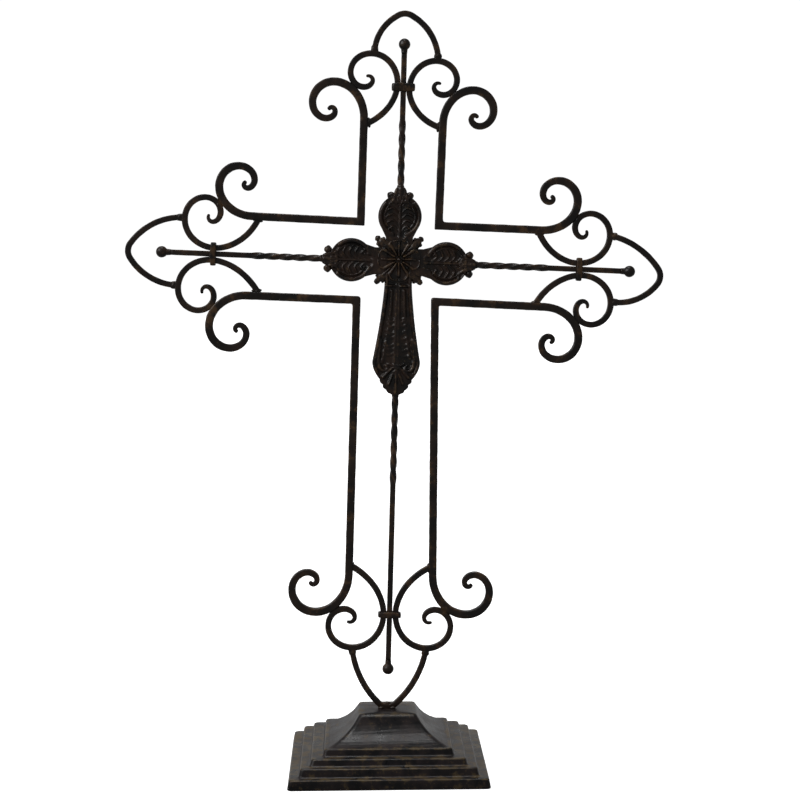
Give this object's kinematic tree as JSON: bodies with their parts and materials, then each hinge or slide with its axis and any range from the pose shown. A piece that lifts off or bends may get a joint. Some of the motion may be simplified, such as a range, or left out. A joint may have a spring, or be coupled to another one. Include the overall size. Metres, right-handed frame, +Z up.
{
  "type": "wrought iron cross",
  "caption": "Free-standing openwork cross of square iron bar with scrolled ends, pointed arches and collars, a cast ornament at its crossing, on a stepped square base.",
  "frame": {"origin": "centre of the underside of the stepped base", "axes": "+Z up, the front of the cross faces -Y, +X to the viewer's right"},
  "size_m": [0.5368, 0.1978, 0.7568],
  "materials": {
    "ironwork": "dark brown-black paint over forged bar, satin, with bronze rubbed through on edges and patches",
    "cast_centrepiece": "dark brown-black paint over a sand casting, satin, with bronze rubbed on the raised relief",
    "cast_base": "dark grey-brown paint over a casting, satin, mottled with olive-bronze specks along the step edges"
  },
  "bodies": {
    "root": {"stepped_base": "cast_base", "corner_bar_upper_left": "ironwork", "corner_bar_upper_right": "ironwork", "corner_bar_lower_left": "ironwork", "corner_bar_lower_right": "ironwork", "inner_scroll_top_upper_left": "ironwork", "inner_scroll_left_upper_left": "ironwork", "inner_scroll_right_upper_right": "ironwork", "inner_scroll_top_upper_right": "ironwork", "inner_scroll_left_lower_left": "ironwork", "inner_scroll_bottom_lower_left": "ironwork", "inner_scroll_bottom_lower_right": "ironwork", "inner_scroll_right_lower_right": "ironwork", "pointed_arch_top": "ironwork", "rod_top": "ironwork", "ball_end_top": "ironwork", "collar_top": "ironwork", "pointed_arch_left": "ironwork", "rod_left": "ironwork", "ball_end_left": "ironwork", "collar_left": "ironwork", "pointed_arch_right": "ironwork", "rod_right": "ironwork", "ball_end_right": "ironwork", "collar_right": "ironwork", "pointed_arch_bottom": "ironwork", "rod_bottom": "ironwork", "ball_end_bottom": "ironwork", "collar_bottom": "ironwork", "centrepiece": "cast_centrepiece"}
  },
  "joints": []
}
